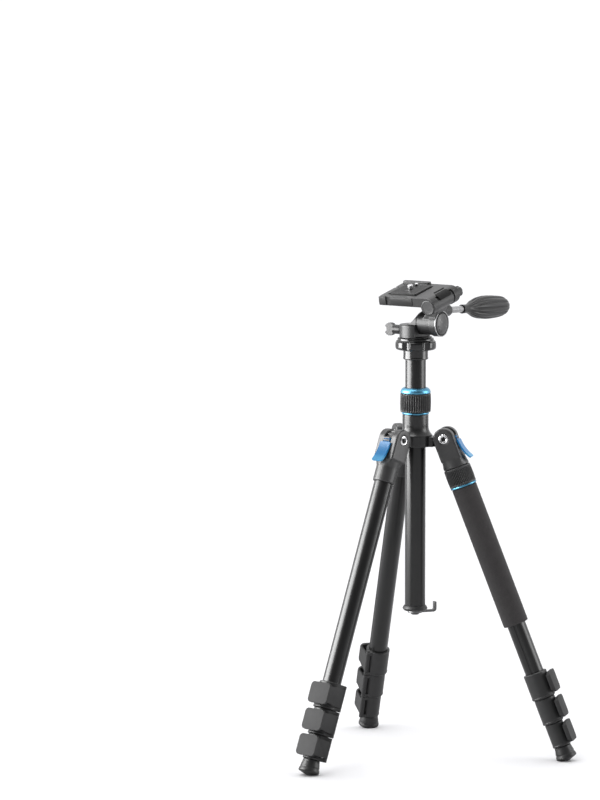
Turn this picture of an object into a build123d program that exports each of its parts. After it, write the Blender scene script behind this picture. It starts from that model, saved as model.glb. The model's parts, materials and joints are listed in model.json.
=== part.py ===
from build123d import *
import os
from math import cos, radians, sin

# Travel tripod with a three-way pan head, a monopod leg and a weight hook.
# Millimetres, +Z up. The origin is on the ground under the centre column.
# +X points along the foam-gripped monopod leg.

os.makedirs("parts", exist_ok=True)

# ---------------------------------------------------------------- driving dimensions
# legs: s is the distance down the leg from its pivot
leg_azimuths = {"right": 0.0, "rear": 120.0, "left": 240.0}
splay = 21.4                    # leg angle from the column at the first stop
hinge_radius = 36.0             # pivot to column axis
tube_radii = [11.0, 9.5, 8.0, 6.5]
tube_wall = 1.2
tube_tops = [24.0, 40.0, 50.0, 60.0]
groove_width = 3.2              # anti-twist groove along each side of a tube
groove_depth = 0.6
running_gap = 0.05              # radial clearance of pins and sliding tubes
side_gap = 0.3                  # clearance between faces that pass each other

shoulder_width = 29.5           # across the two cheeks
shoulder_radius = 12.5
shoulder_slot = 10.6
slot_floor = 13.0
shoulder_blend = [20.0, 34.0]
plain_sleeve_end = 52.0
plain_sleeve_radius = 13.0
monopod_sleeve_end = 36.0
monopod_sleeve_radius = 15.5
tongue_radius = 10.6
tongue_width = 10.0
pin_radius = 3.0
pin_head_radius = 5.85
pin_head_sink = 1.4
stop_angles = [21.4, 51.5, 82.4]

coupler_radius = 16.0
coupler_span = [36.3, 58.0]
coupler_trim_end = 60.0
grip_radius = 14.9
grip_span = [60.3, 232.0]

lever_pivot = (10.4, -9.5)      # angle lever, x and z in the leg's frame
lever_width = 15.5

clamp_tops = [293.0, 324.5, 355.5]
clamp_bottoms = [324.2, 355.2, 384.3]
clamp_radii = [13.9, 12.4, 10.9]
clamp_seat = 12.0               # length glued onto the tube above
clamp_pivot_x = [-7.5, -7.2, -6.8]
clamp_face_x = [19.2, 17.8, 16.4]
clamp_arm_y = [16.4, 16.2, 15.4]
clamp_plate_start = -12.7
clamp_plate_height = 24.8
clamp_arm_thickness = 2.2
clamp_plate_thickness = 3.4
clamp_knuckle = 2.8
clamp_lug = 4.2
clamp_pin = 1.5

foot_top = 384.6
foot_top_radius = 9.5
foot_rim = 398.2
foot_rim_radius = 12.3
foot_tip = 403.0

hinge_height = foot_tip * cos(radians(splay))

# hub and column
hub_bottom = 365.0
hub_shoulder = 378.0
hub_neck_top = 402.0
arm_top = 376.5                 # low enough for the angle levers of folded-up legs
hub_radius = 20.0
neck_radius = 15.25
spigot_radius = 14.6
spigot_top = 418.0
column_radius = 12.0
column_wall = 1.5
column_bottom = 177.0
column_top = 484.0
end_cap_bottom = 171.0
end_cap_radius = 14.5
collar_radius = 18.0
collar_span = [405.0, 427.0]
collar_ring_top = 433.5
collar_ribs = 40
hook_azimuth = 35.0
hook_reach = 26.5
hook_height = 12.0
hook_thickness = 2.8
hook_width = 6.0

# head: u and v are the head's own horizontal axes, w is up from the plate's top
plate_top = 492.0
plate_flange_radius = 21.25
plate_lobe_radius = 24.3
plate_lobes = 6
plate_lobe_azimuth = -76.4
plate_sleeve_radius = 14.5
plate_sleeve_bottom = 466.5
stud_radius = 4.76
pan_azimuth = -20.4
pan_radius = 19.0
pan_height = 15.7
tilt_axis_w = 17.9
tilt_angle = 12.0
tilt_shaft_radius = 5.0
barrel_radius = 13.7
barrel_span = [9.3, 27.0]
ring_radius = 15.0
ring_end = 36.0
cap_radius = 13.4
side_axis_u = 37.5
side_axis_w = 45.9
side_shaft_radius = 3.0
knuckle_radius = 9.0
knuckle_half = 16.7
ear_radius = 9.6
dome_radius = 11.1              # shell over the side-tilt axis
ear_half = 28.0
side_knob_radius = 6.4
side_knob_length = 12.5
handle_u = 29.0
handle_w = 33.0
handle_droop = 14.4             # handle below the platform's plane
handle_socket = 27.0
handle_rod_radius = 4.0
grip_start = 57.0
grip_length = 99.0
platform_start_u = -28.0
platform_w = [45.5, 57.0]
platform_half = 28.0
release_centre = (-1.2, -1.0)
release_size = 38.0
release_gap = 0.4
release_depth = 7.0
camera_screw_radius = 3.175
camera_screw_length = 5.0
lever_slot_u = -22.6
release_pivot = (-25.4, 5.0)
release_lever_width = 5.0


# ---------------------------------------------------------------- small helpers
def rod(radius, bottom, top, x=0.0, y=0.0):
    """Upright cylinder."""
    return Pos(x, y, (bottom + top) / 2) * Cylinder(radius, top - bottom)


def rod_x(radius, start, end, y=0.0, z=0.0):
    """Cylinder along X."""
    return Pos((start + end) / 2, y, z) * Rot(0, 90, 0) * Cylinder(radius, end - start)


def rod_y(radius, start, end, x=0.0, z=0.0):
    """Cylinder along Y."""
    return Pos(x, (start + end) / 2, z) * Rot(90, 0, 0) * Cylinder(radius, end - start)


def block(x, y, z):
    """Box from three (low, high) pairs."""
    size = [high - low for low, high in (x, y, z)]
    return Pos((x[0] + x[1]) / 2, (y[0] + y[1]) / 2, (z[0] + z[1]) / 2) * Box(*size)


def turned(points):
    """Solid of revolution about Z from (radius, height) points."""
    return revolve(Plane.XZ * make_face(Polyline(*points, close=True)), Axis.Z)


def slab_xz(points, y):
    """Polygon in x and z, between two y values."""
    outline = make_face(Polyline(*points, close=True))
    return Pos(0, y[1], 0) * extrude(Plane.XZ * outline, y[1] - y[0])


def around(piece, count, start=0.0):
    """Copies of a piece, evenly spaced about Z."""
    return [Rot(0, 0, start + 360.0 * i / count) * piece for i in range(count)]


def one_solid(shape):
    """The single solid of a boolean result."""
    return shape.solids()[0]


def save(name, *solids):
    """Write one node."""
    shape = solids[0] if len(solids) == 1 else Compound(children=list(solids))
    export_step(shape, f"parts/{name}.step")


# ---------------------------------------------------------------- leg pieces
# The leg's frame has the pivot at the origin, the foot towards -Z, +X facing outwards
# and +Y along the pivot pin.
def leg_shoulder(sleeve_end, sleeve_radius):
    """Forked casting: two cheeks round the pivot that blend into a round socket."""
    half = shoulder_width / 2
    start, end = shoulder_blend
    outline = Circle(shoulder_radius) + Pos(0, -13) * Rectangle(2 * shoulder_radius, 26)
    body = extrude(Plane.XZ * outline, half, both=True)
    rims = body.faces().filter_by(Axis.Y).edges()
    body = fillet(rims, 2.0)
    inset = 0.4
    head = RectangleRounded(2 * shoulder_radius - inset, shoulder_width - inset, 3)
    upper = Plane.XY.offset(-start) * head
    lower = Plane.XY.offset(-end) * Circle(sleeve_radius)
    body += loft([lower, upper])
    body += rod(sleeve_radius, -sleeve_end, -end)
    body -= block((-20, 20), (-shoulder_slot / 2, shoulder_slot / 2), (-slot_floor, 20))
    body -= rod_y(pin_radius + running_gap, -half - 1, half + 1)
    for side in (-1, 1):
        sink = sorted((side * (half - pin_head_sink), side * (half + 1)))
        body -= rod_y(pin_head_radius + side_gap, *sink)
    body -= rod_y(clamp_pin + running_gap, -8.3, 8.3, *lever_pivot)
    body -= rod(tube_radii[0], -sleeve_end - 1, -tube_tops[0])
    return one_solid(body)


def angle_lever():
    """Sprung rocker: a flared tab outside, a pawl in the slot above its trunnions."""
    inner = ThreePointArc((12.9, -6.5), (14.5, -18.5), (20.4, -31.6))
    outer = ThreePointArc((15.1, -6.3), (16.7, -18.0), (22.3, -30.5))
    ends = [Line(inner @ 0, outer @ 0), Line(inner @ 1, outer @ 1)]
    tab = extrude(Plane.XZ * make_face([inner, outer, *ends]), lever_width / 2, both=True)
    trim = Plane.YZ * (Pos(0, -18.5) * RectangleRounded(lever_width, 27.0, 3.5))
    tab &= extrude(trim, 30)
    px, pz = lever_pivot
    half = tongue_width / 2 - 0.2
    tab += rod_y(2.3, -half, half, px, pz)
    tab += block((px, 13.6), (-half, half), (pz - 1.8, pz + 2.2))
    tab += block((11.9, 13.6), (-half, half), (pz, -1.0))
    tab += block((11.2, 12.5), (-half, half), (-3.6, -1.6))
    tab += rod_y(clamp_pin, -8.0, 8.0, px, pz)
    return one_solid(tab)


def leg_tube(index, bottom):
    """Drawn tube with a groove down each side."""
    radius = tube_radii[index]
    section = Circle(radius) - Circle(radius - tube_wall)
    for side in (-1, 1):
        section -= Pos(0, side * radius) * Rectangle(groove_width, 2 * groove_depth)
    return one_solid(Pos(0, 0, -bottom) * extrude(section, bottom - tube_tops[index]))


def clamp_middle(index):
    """Height of a clamp's middle."""
    return -(clamp_tops[index] + clamp_bottoms[index]) / 2


def clamp_pivot(index):
    """Hinge point of a clamp's lever, x and y."""
    return clamp_pivot_x[index], clamp_arm_y[index] - 2.3


def leg_clamp(index):
    """Moulded clamp on the end of a tube, with two lugs for the flip lever."""
    top, bottom = -clamp_tops[index], -clamp_bottoms[index]
    radius = clamp_radii[index]
    px, py = clamp_pivot(index)
    body = rod(radius, bottom, top)
    body = chamfer(body.edges().filter_by(GeomType.CIRCLE), 0.7)
    inner = top - clamp_lug, bottom + clamp_lug
    for low, high in ((bottom + 0.3, inner[1]), (inner[0], top - 0.3)):
        body += rod(clamp_knuckle, low, high, px, py)
        web = make_face(Polyline(
            (px - 1.0, 0), (px - 2.6, py), (px + 1.8, py + 2.0), (4.0, radius - 0.8), (4.0, 0),
            close=True,
        ))
        body += Pos(0, 0, low) * extrude(web, high - low)
    body -= rod(clamp_knuckle + side_gap, inner[1], inner[0], px, py)
    body -= rod(clamp_pin + running_gap, bottom, top, px, py)
    body -= rod(tube_radii[index], top - clamp_seat, top + 1)
    body -= rod(tube_radii[index + 1] + running_gap, bottom - 1, top)
    body -= block((5, 20), (3.0, 4.2), (bottom - 1, top - clamp_seat - 2))
    return one_solid(body)


def clamp_lever(index):
    """Flip lever: a square thumb plate outside and an arm back to the lugs."""
    middle = clamp_middle(index)
    px, py = clamp_pivot(index)
    face = clamp_face_x[index]
    edge = clamp_arm_y[index]
    half = clamp_plate_height / 2
    reach = (clamp_bottoms[index] - clamp_tops[index]) / 2 - clamp_lug - side_gap
    start = clamp_plate_start
    width = edge - start
    plate = block((face - clamp_plate_thickness, face), (start, edge), (middle - half, middle + half))
    plate += block((face - 5.0, face), (start, start + 3.4), (middle - 9.5, middle + 9.5))
    outline = Pos(start + width / 2, middle) * RectangleRounded(width, clamp_plate_height, 4.8)
    plate &= extrude(Plane.YZ * outline, face + 1)
    side = [(px, -reach), (5, -reach), (11, -half + 2.5), (face - 1, -half + 2.5)]
    side += [(x, -z) for x, z in reversed(side)]
    arm = slab_xz([(x, z + middle) for x, z in side], (edge - clamp_arm_thickness, edge))
    lever = plate + arm + rod(clamp_knuckle, middle - reach, middle + reach, px, py)
    lever += rod(clamp_pin, middle - reach - clamp_lug + 0.8, middle + reach + clamp_lug - 0.8, px, py)
    return one_solid(lever)


def foot():
    """Flared rubber foot with a coned sole."""
    profile = [
        (0, -foot_top), (foot_top_radius, -foot_top), (foot_rim_radius, -foot_rim),
        (foot_rim_radius - 0.5, -foot_rim - 0.6), (1.5, -foot_tip), (0, -foot_tip),
    ]
    return one_solid(turned(profile) - rod(tube_radii[3], -foot_top - 6, -foot_top + 1))


def monopod_coupler():
    """Ribbed ring that unscrews the monopod leg, with its coloured trim ring."""
    top, bottom = coupler_span
    ring = rod(coupler_radius, -bottom, -top)
    ring = chamfer(ring.edges().filter_by(GeomType.CIRCLE), 0.8)
    rib_gap = Pos(coupler_radius, 0, -(top + bottom) / 2) * Box(0.9, 1.2, bottom - top - 5)
    ring -= around(rib_gap, 36)
    hole = rod(tube_radii[0] + running_gap, -coupler_trim_end - 1, -top + 1)
    trim = rod(coupler_radius - 0.4, -coupler_trim_end, -bottom)
    return one_solid(ring - hole), one_solid(trim - hole)


def foam_grip():
    """Foam sleeve on the monopod leg."""
    top, bottom = grip_span
    sleeve = rod(grip_radius, -bottom, -top)
    sleeve = fillet(sleeve.edges().filter_by(GeomType.CIRCLE), 1.2)
    return one_solid(sleeve - rod(tube_radii[0], -bottom - 1, -top + 1))


# ---------------------------------------------------------------- hub and column
def hub():
    """Spider casting: a flared neck with three slotted-in tongues."""
    foot, waist = (hub_radius, hub_shoulder), (neck_radius, 389)
    flare = ThreePointArc(foot, (neck_radius + 1.6, hub_shoulder + 4), waist)
    outline = Polyline((0, hub_bottom), (hub_radius, hub_bottom), (hub_radius, hub_shoulder))
    upper = Polyline(
        (neck_radius, 389), (neck_radius, hub_neck_top), (spigot_radius, hub_neck_top),
        (spigot_radius, spigot_top), (0, spigot_top), (0, hub_bottom),
    )
    body = revolve(Plane.XZ * make_face([*outline.edges(), flare, *upper.edges()]), Axis.Z)
    half = tongue_width / 2
    root = hinge_radius - shoulder_radius - 0.6
    arm = block((10, root), (-9, 9), (hub_bottom, arm_top))
    arm += block((10, hinge_radius), (-half, half), (hub_bottom, arm_top))
    arm += rod_y(tongue_radius, -half, half, hinge_radius, hinge_height)
    for angle in stop_angles:
        turn = Pos(hinge_radius, 0, hinge_height) * Rot(0, -angle, 0)
        arm -= turn * block((tongue_radius - 1.6, tongue_radius + 1), (-half - 1, half + 1), (-3.6, -1.2))
    arm -= rod_y(pin_radius, -20, 20, hinge_radius, hinge_height)
    for azimuth in leg_azimuths.values():
        body += Rot(0, 0, azimuth) * arm
    return one_solid(body - rod(column_radius + running_gap, hub_bottom - 1, spigot_top + 1))


def pivot_pin():
    """Headed pin with a hexagon socket at each end, along Y."""
    reach = shoulder_width / 2 - pin_head_sink + 0.15
    pin = rod_y(pin_radius, -reach, reach)
    socket = Rot(90, 0, 0) * extrude(RegularPolygon(2.9, 6), 3)
    for side in (-1, 1):
        pin += rod_y(pin_head_radius, *sorted((side * reach, side * (reach + 1.9))))
        pin -= Pos(0, side * (reach + 1.9) + 1.5, 0) * socket
    return one_solid(pin)


def lock_collar():
    """Ribbed twist collar that clamps the column."""
    bottom, top = collar_span
    body = rod(collar_radius, bottom, top)
    body = fillet(body.edges().filter_by(GeomType.CIRCLE), 1.4)
    rib_gap = Pos(collar_radius, 0, (bottom + top) / 2) * Box(1.1, 1.5, top - bottom - 4)
    body -= around(rib_gap, collar_ribs)
    body -= rod(column_radius + side_gap, bottom - 1, top + 1)
    return one_solid(body - rod(spigot_radius + running_gap, bottom - 1, spigot_top + side_gap))


def lock_rings():
    """Bevelled ring above the collar and thin ring below it."""
    bottom, top = collar_span
    inner = column_radius + side_gap
    upper = turned([
        (inner, top), (collar_radius - 0.4, top), (collar_radius - 0.4, top + 1.2),
        (column_radius + 2.2, collar_ring_top), (inner, collar_ring_top),
    ])
    lower = rod(neck_radius + 0.7, hub_neck_top + side_gap, bottom)
    lower -= rod(spigot_radius + running_gap, hub_neck_top, bottom + 1)
    return one_solid(upper), one_solid(lower)


def column_tube():
    """Centre column."""
    tube = rod(column_radius, column_bottom, column_top)
    return one_solid(tube - rod(column_radius - column_wall, column_bottom - 1, column_top + 1))


def column_end_cap():
    """Flanged plug in the column's lower end, with the rivet that holds the hook."""
    cap = turned([
        (0, end_cap_bottom), (end_cap_radius - 1.6, end_cap_bottom), (end_cap_radius, end_cap_bottom + 2.2),
        (end_cap_radius, end_cap_bottom + 3.4), (end_cap_radius - 1.6, column_bottom), (0, column_bottom),
    ])
    cap += rod(column_radius - column_wall, column_bottom, column_bottom + 9)
    cap += rod(3.0, end_cap_bottom - hook_thickness - 2.0, end_cap_bottom)
    cap += rod(4.6, end_cap_bottom - hook_thickness - 2.2, end_cap_bottom - hook_thickness - 0.5)
    return one_solid(cap)


def weight_hook():
    """Flat steel bar on the rivet, with its tip turned up."""
    top = end_cap_bottom - 0.2
    bottom = top - hook_thickness
    bend = 4.0
    reach, inner = hook_reach, hook_reach - hook_thickness
    tip = bottom + hook_height
    outline = [
        Line((0, bottom), (reach - bend, bottom)),
        RadiusArc((reach - bend, bottom), (reach, bottom + bend), -bend),
        Line((reach, bottom + bend), (reach, tip)),
        Line((reach, tip), (inner, tip)),
        Line((inner, tip), (inner, top + bend - hook_thickness)),
        RadiusArc((inner, top + bend - hook_thickness), (reach - bend, top), bend - hook_thickness),
        Line((reach - bend, top), (0, top)),
        Line((0, top), (0, bottom)),
    ]
    bar = extrude(Plane.XZ * make_face(outline), hook_width / 2, both=True)
    bar += rod(8.5, bottom, top)
    return one_solid(Rot(0, 0, hook_azimuth) * (bar - rod(3.0 + running_gap, bottom - 1, top + 1)))


def head_plate():
    """Lobed disc on a sleeve, with the screw that carries the head."""
    radius, low = plate_sleeve_radius, plate_sleeve_bottom
    sleeve = turned([
        (0, low + 1), (radius - 0.6, low), (radius + 0.3, low + 0.9), (radius + 0.3, low + 1.8),
        (radius, low + 2.4), (radius, 479), (0, 479),
    ])
    lobed = rod(plate_lobe_radius, 478, 489)
    lobed = fillet(lobed.edges().filter_by(GeomType.CIRCLE), 3.5)
    scallop = rod(5.2, 470, 488.2, plate_lobe_radius + 1.6)
    step = 360.0 / plate_lobes
    lobed -= around(scallop, plate_lobes, plate_lobe_azimuth + step / 2)
    flange = rod(plate_flange_radius, 488, plate_top)
    flange = fillet(flange.edges().filter_by(GeomType.CIRCLE), 1.0)
    plate = sleeve + lobed + flange + rod(stud_radius, plate_top - 1, plate_top + 11)
    return one_solid(plate - rod(column_radius, 460, column_top))


# ---------------------------------------------------------------- head
# The head's frame has the pan axis as Z with w = 0 at the plate's top, X as the tilt
# axis direction u and Y as the handle's direction v.
def pan_base():
    """Turning base with a neck that carries the tilt shaft."""
    base = rod(pan_radius, side_gap, pan_height)
    base = fillet(base.edges().group_by(Axis.Z)[-1], 1.0)
    face = barrel_span[0] - side_gap
    top = tilt_axis_w + barrel_radius
    foot_u, foot_w = -9.0, pan_height - 1
    rise = ThreePointArc((foot_u, foot_w), (2.2, pan_height + 4.0), (face, top))
    sides = Polyline((face, top), (face, 2), (foot_u, 2), (foot_u, foot_w))
    neck = extrude(Plane.XZ * make_face([rise, *sides.edges()]), barrel_radius, both=True)
    neck &= rod_x(barrel_radius - 0.4, foot_u, face, z=tilt_axis_w)
    body = base + neck
    body -= block((face, 30), (-30, 30), (tilt_axis_w - ring_radius - 1.5, 30))
    body += rod_x(tilt_shaft_radius, 5, 33.0, z=tilt_axis_w)
    body -= rod(stud_radius + running_gap, -1, 12)
    body -= rod_x(2.5 + running_gap, -22, -8, z=8)
    return one_solid(body)


def pan_lock_knob():
    """Wing knob with its clamping screw, along -u."""
    knob = rod_x(5.5, -30, -19.6, z=8) + rod_x(2.5, -20, -9, z=8)
    wing = Circle(7.6) & Rectangle(14.2, 15.0)
    wing = extrude(Plane.XZ * (Pos(-34.6, 8) * wing), 2.6, both=True)
    notch = rod_y(3.6, -5, 5, -42.6, 8)
    return one_solid(knob + (wing - notch))


def handle_rod_y(radius, start, end):
    """Cylinder along the drooping handle axis."""
    return Pos(handle_u, 0, handle_w) * Rot(-handle_droop, 0, 0) * rod_y(radius, start, end)


def tilt_housing():
    """Tilting casting: barrel, clamp ring, handle socket and side-tilt knuckle."""
    body = rod_x(barrel_radius, *barrel_span, z=tilt_axis_w)
    body += rod_x(ring_radius, barrel_span[1], ring_end, z=tilt_axis_w)
    reach = knuckle_radius - 0.2
    neck = [
        (16, 25), (21, 31), (27.5, 39),
        (side_axis_u - reach, side_axis_w), (side_axis_u + reach, side_axis_w),
        (ring_end + 4, 37), (ring_end, 31), (ring_end, 22),
    ]
    body += slab_xz(neck, (-11, 11))
    body += rod_y(knuckle_radius, -knuckle_half, knuckle_half, side_axis_u, side_axis_w)
    body += block((handle_u - 6.5, ring_end), (0, 14.0), (tilt_axis_w, handle_w - 1))
    body += handle_rod_y(6.9, 0, handle_socket)
    body -= rod_x(tilt_shaft_radius + running_gap, 0, 33.5, z=tilt_axis_w)
    body -= rod_x(cap_radius, ring_end - 1.2, ring_end + 1, z=tilt_axis_w)
    body -= rod_y(side_shaft_radius + running_gap, -30, 30, side_axis_u, side_axis_w)
    body -= handle_rod_y(handle_rod_radius + running_gap, 12, 40)
    return one_solid(body)


def tilt_scale_cap():
    """Domed cap over the tilt shaft's end."""
    cap = rod_x(cap_radius, ring_end - 1.2, ring_end + 0.9, z=tilt_axis_w)
    return one_solid(fillet(cap.edges().group_by(Axis.X)[-1], 0.8))


def handle_rod():
    """Steel rod that screws into the tilt clamp."""
    return one_solid(handle_rod_y(handle_rod_radius, 12.3, grip_start + 30))


def handle_grip():
    """Ribbed pear-shaped grip."""
    length = grip_length
    profile = Spline(
        (5.2, 0), (6.0, 8), (11.4, 30), (13.8, 58), (12.6, 84), (7.2, length - 2.4), (0, length)
    )
    closing = Polyline((0, length), (0, 0), (5.2, 0))
    grip = revolve(Plane.XZ * make_face([profile, *closing.edges()]), Axis.Z)
    groove = Pos(14.9, 0, length * 0.58) * Rot(0, 2, 0) * Cylinder(1.7, 66)
    grip -= around(groove, 12)
    axis = Pos(handle_u, 0, handle_w) * Rot(-handle_droop, 0, 0)
    grip = axis * Pos(0, grip_start, 0) * Rot(-90, 0, 0) * grip
    return one_solid(grip - handle_rod_y(handle_rod_radius, grip_start - 1, grip_start + 30))


def platform():
    """Camera platform with the side-tilt ears and a shell over the knuckle."""
    half = platform_half
    low, high = platform_w
    plate = block((platform_start_u, side_axis_u - 1), (-half, half), (low, high))
    plate = fillet(plate.edges().filter_by(Axis.Z).group_by(Axis.X)[0], 3.0)
    dome = rod_y(dome_radius, -ear_half, ear_half, side_axis_u - 1, side_axis_w)
    dome &= block((side_axis_u - 1, 60), (-half, half), (side_axis_w - 0.4, 70))
    body = plate + dome + rod_y(ear_radius, -ear_half, ear_half, side_axis_u, side_axis_w)
    inside = knuckle_half + side_gap
    body -= rod_y(knuckle_radius + side_gap, -inside, inside, side_axis_u, side_axis_w)
    window = [
        (side_axis_u, side_axis_w + 7.5), (80, side_axis_w + 30), (80, 10), (side_axis_u - 17, 10),
        (side_axis_u - 17, low), (side_axis_u - 11, low + 2.5), (side_axis_u, side_axis_w),
    ]
    body -= slab_xz(window, (-inside, inside))
    shaft = side_shaft_radius + running_gap
    body -= rod_y(shaft, -ear_half + 2, ear_half + 1, side_axis_u, side_axis_w)
    rim = block((platform_start_u + 1, 10), (half - 6.2, half), (high - 1, high + 2.6))
    body += fillet(rim.edges().filter_by(Axis.Z), 2.4)
    cu, cv = release_centre
    side = release_size / 2 + release_gap
    body -= block((cu - side, cu + side), (cv - side, cv + side), (high - release_depth, high + 1))
    body -= block((platform_start_u - 1, lever_slot_u), (-half - 1, 9), (low - 1, high + 1))
    body -= rod(8.0, low - 1, high, cu, cv)
    body += block((platform_start_u, lever_slot_u + 1), (1, 9), (low, low + 2.4))
    body -= rod(clamp_pin + running_gap, low - 1, high, *release_pivot)
    return one_solid(body)


def side_lock_knob():
    """Lobed knob with the long spindle of the side tilt."""
    axis = side_axis_u, side_axis_w
    start, end = ear_half + side_gap, ear_half + side_knob_length
    knob = rod_y(side_knob_radius, start + 3.5, end, *axis)
    knob = fillet(knob.edges().filter_by(GeomType.CIRCLE), 1.2)
    scallop_at = side_knob_radius + 2.0
    for angle in range(0, 360, 72):
        u = side_axis_u + scallop_at * cos(radians(angle))
        w = side_axis_w + scallop_at * sin(radians(angle))
        knob -= rod_y(2.8, start + 3, end + 1, u, w)
    knob += rod_y(4.4, start, end - 2, *axis)
    return one_solid(knob + rod_y(side_shaft_radius, -ear_half + 2.3, start + 1, *axis))


def release_plate():
    """Square camera plate with a ribbed top and an anti-twist pin."""
    cu, cv = release_centre
    half = release_size / 2
    low = platform_w[1] - release_depth + 0.1
    high = platform_w[1] + 1.6
    plate = block((cu - half, cu + half), (cv - half, cv + half), (low, high))
    plate = chamfer(plate.edges().filter_by(Axis.Z), 1.5)
    plate = chamfer(plate.edges().group_by(Axis.Z)[-1], 0.6)
    plate += rod(2.0, high - 1, high + 2.6, cu, cv + 13)
    plate -= rod(camera_screw_radius + 0.15, low - 1, high + 1, cu, cv)
    return one_solid(plate - rod(6.8, low - 1, low + 2.6, cu, cv))


def camera_screw():
    """Quarter-inch camera screw with a slotted head under the plate."""
    cu, cv = release_centre
    low = platform_w[1] - release_depth + 0.1
    high = platform_w[1] + 1.6
    screw = rod(camera_screw_radius, high + 0.2, high + camera_screw_length, cu, cv)
    screw = chamfer(screw.edges().group_by(Axis.Z)[-1], 0.5)
    screw += rod(2.4, low + 1, high + 1, cu, cv)
    screw += rod(6.4, low, low + 2.4, cu, cv)
    return one_solid(screw - block((cu - 7, cu + 7), (cv - 0.8, cv + 0.8), (low - 1, low + 1.2)))


def release_lever():
    """Lever beside the plate that lets it go."""
    low = platform_w[0] + 2.7
    u, v = release_pivot
    half = release_lever_width / 2
    bar = block((u - half, u + half), (-27.4, v + half), (low, platform_w[1] - 0.5))
    bar = fillet(bar.edges().filter_by(Axis.Z), half - 0.05)
    return one_solid(bar + rod(clamp_pin, platform_w[0], platform_w[1] - 1, u, v))


# ---------------------------------------------------------------- assembly
pin = pivot_pin()
pins = []
for side, azimuth in leg_azimuths.items():
    pivot = Rot(0, 0, azimuth) * Pos(hinge_radius, 0, hinge_height)
    leg = pivot * Rot(0, -splay, 0)
    pins.append(pivot * pin)
    is_monopod = side == "right"
    if is_monopod:
        shoulder = leg_shoulder(monopod_sleeve_end, monopod_sleeve_radius)
    else:
        shoulder = leg_shoulder(plain_sleeve_end, plain_sleeve_radius)
    save(f"{side}_leg_shoulder", leg * shoulder)
    save(f"{side}_angle_lever", leg * angle_lever())
    for index, section in enumerate(("upper", "second", "third")):
        save(f"{side}_{section}_tube", leg * leg_tube(index, clamp_tops[index] + clamp_seat))
        save(f"{side}_{section}_clamp", leg * leg_clamp(index))
        save(f"{side}_{section}_clamp_lever", leg * clamp_lever(index))
    save(f"{side}_foot_tube", leg * leg_tube(3, foot_top + 6))
    save(f"{side}_foot", leg * foot())
    if is_monopod:
        save("monopod_coupler", *[leg * ring for ring in monopod_coupler()])
        save("foam_grip", leg * foam_grip())

save("hub", hub())
save("leg_pivot_pins", *pins)
save("column_lock_collar", lock_collar())
save("column_lock_rings", *lock_rings())
save("column_tube", column_tube())
save("column_end_cap", column_end_cap())
save("weight_hook", weight_hook())
save("head_plate", head_plate())

pan = Pos(0, 0, plate_top) * Rot(0, 0, pan_azimuth)
tilt = pan * Pos(0, 0, tilt_axis_w) * Rot(tilt_angle, 0, 0) * Pos(0, 0, -tilt_axis_w)
save("pan_base", pan * pan_base())
save("pan_lock_knob", pan * pan_lock_knob())
tilting = {
    "tilt_housing": tilt_housing, "tilt_scale_cap": tilt_scale_cap, "handle_rod": handle_rod,
    "handle_grip": handle_grip, "platform": platform, "side_lock_knob": side_lock_knob,
    "quick_release_plate": release_plate, "camera_screw": camera_screw,
    "quick_release_lever": release_lever,
}
for name, make in tilting.items():
    save(name, tilt * make())
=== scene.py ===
import json
from math import atan2, cos, pi, radians, sin, tan

import bmesh
import bpy
from mathutils import Matrix, Vector, noise


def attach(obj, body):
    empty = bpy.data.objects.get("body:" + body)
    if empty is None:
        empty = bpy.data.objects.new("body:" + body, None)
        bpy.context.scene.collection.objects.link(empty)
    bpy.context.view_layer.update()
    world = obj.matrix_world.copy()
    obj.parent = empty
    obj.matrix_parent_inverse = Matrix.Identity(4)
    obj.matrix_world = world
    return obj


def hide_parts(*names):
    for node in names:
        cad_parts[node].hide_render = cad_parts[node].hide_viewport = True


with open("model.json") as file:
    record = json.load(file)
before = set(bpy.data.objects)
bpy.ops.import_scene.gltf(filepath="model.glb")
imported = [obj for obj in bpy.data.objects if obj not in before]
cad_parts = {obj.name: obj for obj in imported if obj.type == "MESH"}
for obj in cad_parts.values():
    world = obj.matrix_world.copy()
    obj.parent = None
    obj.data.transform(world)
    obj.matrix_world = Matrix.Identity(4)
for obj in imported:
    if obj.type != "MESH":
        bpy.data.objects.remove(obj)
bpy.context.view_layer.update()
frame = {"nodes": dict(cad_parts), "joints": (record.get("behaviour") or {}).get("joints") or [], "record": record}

MM = 0.001
SIDES = ("right", "rear", "left")
SECTIONS = ("upper", "second", "third")
ON_AXIS = 1e-6                        # a lathe's radius below which a point is on its axis


# ------------------------------------------------------------------ frames from the joints
joints = {joint["name"]: joint for joint in frame["joints"]}
body_of_node = {}
for body, nodes in frame["record"]["behaviour"]["bodies"].items():
    for node in nodes:
        body_of_node[node] = body


def axis_of(joint):
    """Unit vector along a joint's axis."""
    return Vector(joints[joint]["axis"]).normalized()


def local_frame(x, z, origin):
    """Matrix whose columns are X, Z x X and Z, standing at origin."""
    y = z.cross(x)
    return Matrix.Translation(origin) @ Matrix((x, y, z)).transposed().to_4x4()


def leg_frame(side):
    """Frame that lies along a leg, with its origin on the pivot pin."""
    z = -axis_of(f"{side}_second_section_slide")
    x = axis_of(f"{side}_leg_fold").cross(z)
    return local_frame(x, z, joints[f"{side}_leg_fold"]["pos_m"])


LEG = {side: leg_frame(side) for side in SIDES}
UPRIGHT = Matrix.Identity(4)
TILT_AXIS_W = 17.9                    # height of the tilt axis above the head plate
tilt_centre = Vector((0, 0, joints["tilt"]["pos_m"][2]))
up = Vector((0, 0, 1))
PAN = local_frame(axis_of("tilt"), up, tilt_centre - TILT_AXIS_W * MM * up)
platform_up = axis_of("release_plate_lift")
TILT = local_frame(axis_of("tilt"), platform_up, tilt_centre - TILT_AXIS_W * MM * platform_up)


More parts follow.
